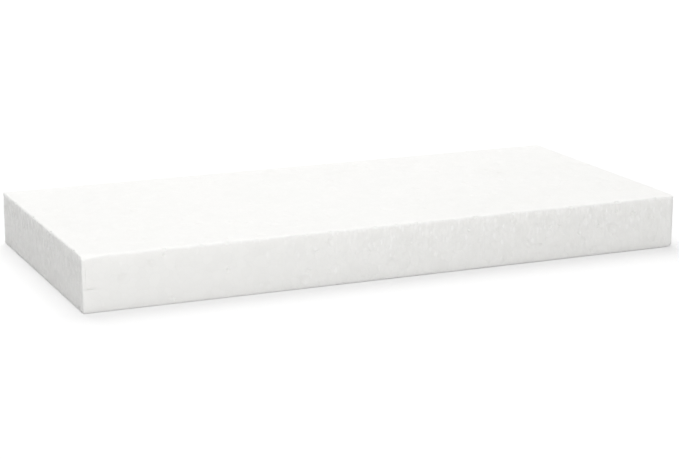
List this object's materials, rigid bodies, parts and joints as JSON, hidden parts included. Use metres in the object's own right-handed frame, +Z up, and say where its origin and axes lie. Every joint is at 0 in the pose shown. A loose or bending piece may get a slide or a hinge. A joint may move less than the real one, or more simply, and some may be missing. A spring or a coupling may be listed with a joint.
{
  "type": "foam block",
  "caption": "Flat rectangular slab of white expanded polystyrene, hot-wire cut, with softened edges and worn front corners.",
  "frame": {"origin": "middle of the base, where the slab rests", "axes": "+X along the length towards the right end, +Y across the width towards the back, +Z up through the thickness"},
  "size_m": [0.304, 0.14, 0.026],
  "materials": {
    "eps_foam": "matt, fused white beads"
  },
  "bodies": {
    "root": {"foam_block": "eps_foam"}
  },
  "joints": []
}
